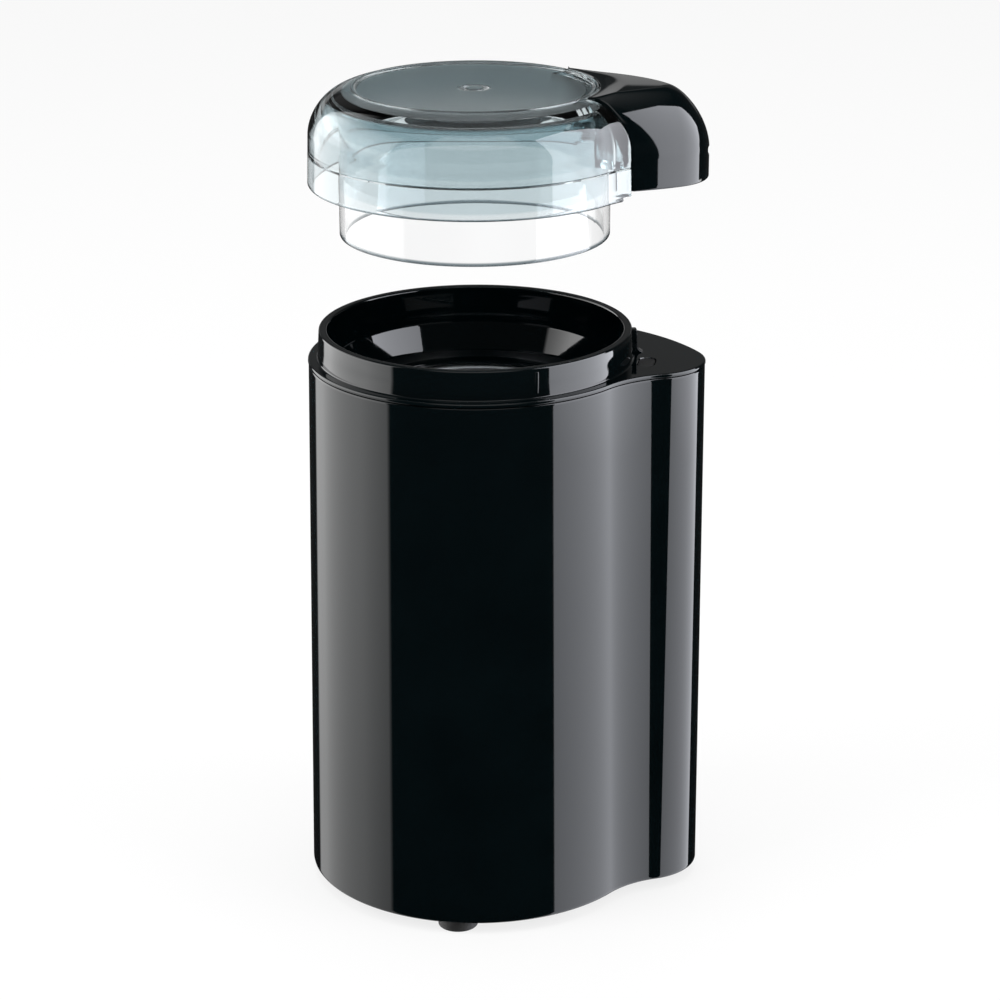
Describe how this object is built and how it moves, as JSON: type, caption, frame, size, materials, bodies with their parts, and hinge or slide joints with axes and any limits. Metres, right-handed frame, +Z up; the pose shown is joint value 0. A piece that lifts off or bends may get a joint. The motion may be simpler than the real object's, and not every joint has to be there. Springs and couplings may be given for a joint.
{
  "type": "electric coffee grinder",
  "caption": "Electric coffee grinder: drafted black body with a nose, steel bowl with a bent blade, and a smoked clear lift-off lid whose press bar works the switch.",
  "frame": {"origin": "Centre of the bounding box's bottom face, on the plane the feet stand on.", "axes": "+Z up, +X towards the nose with the switch, -Y towards the front."},
  "size_m": [0.1036, 0.089, 0.2136],
  "materials": {
    "black_gloss": "gloss",
    "black_satin": "satin",
    "smoked_clear": "clear, polished",
    "stainless": "brushed",
    "zinc_steel": "plain",
    "bracket_steel": "satin",
    "lamination": "lacquered",
    "copper_wire": "enamelled",
    "copper": "turned",
    "sinter_bronze": "matt",
    "brass": "stamped",
    "carbon": "matt",
    "rubber": "matt",
    "spring_steel": "drawn",
    "switch_case": "matt",
    "switch_red": "matt"
  },
  "bodies": {
    "body": {"housing": "black_gloss", "base_plate": "black_satin", "base_screws": "zinc_steel", "feet": "rubber", "top_cover": "black_gloss", "steel_bowl": "stainless", "bowl_gasket": "rubber", "shaft_seal": "rubber", "motor_top_bracket": "bracket_steel", "bracket_screws": "zinc_steel", "upper_bearing": "sinter_bronze", "stator_core": "lamination", "field_coils": "copper_wire", "motor_bottom_bracket": "bracket_steel", "lower_bearing": "sinter_bronze", "motor_screws": "zinc_steel", "brush_holders": "brass", "carbon_brushes": "carbon", "brush_springs": "spring_steel", "switch_bracket": "bracket_steel", "switch_body": "switch_case", "plunger_spring": "spring_steel"},
    "rotor": {"motor_shaft": "zinc_steel", "armature_core": "lamination", "armature_winding": "copper_wire", "commutator": "copper", "cooling_fan": "black_satin", "blade": "stainless", "blade_nut": "zinc_steel"},
    "plunger": {"switch_plunger": "black_satin", "switch_button": "switch_red"},
    "lid": {"lid_cover": "smoked_clear", "push_bar_springs": "spring_steel"},
    "bar": {"push_bar": "black_gloss"}
  },
  "joints": [
    {"name": "lid_lift", "type": "slide", "parent": "body", "child": "lid", "axis": [0, 0, 1], "range_m": [-0.0455, 0]},
    {"name": "bar_press", "type": "slide", "parent": "lid", "child": "bar", "axis": [0, 0, -1], "range_m": [0, 0.0013], "stiffness_N_per_m": 600, "springref_m": -0.003, "deforming": ["push_bar_springs"]},
    {"name": "plunger_push", "type": "slide", "parent": "body", "child": "plunger", "axis": [0, 0, -1], "range_m": [0, 0.00078], "stiffness_N_per_m": 300, "springref_m": -0.003, "deforming": ["plunger_spring"]},
    {"name": "blade_spin", "type": "hinge", "parent": "body", "child": "rotor", "pos_m": [-0.00732, 0, 0], "axis": [0, 0, 1], "continuous": true}
  ],
  "couplings": [
    {"joint": "plunger_push", "follows": "bar_press", "ratio": 0.6}
  ]
}
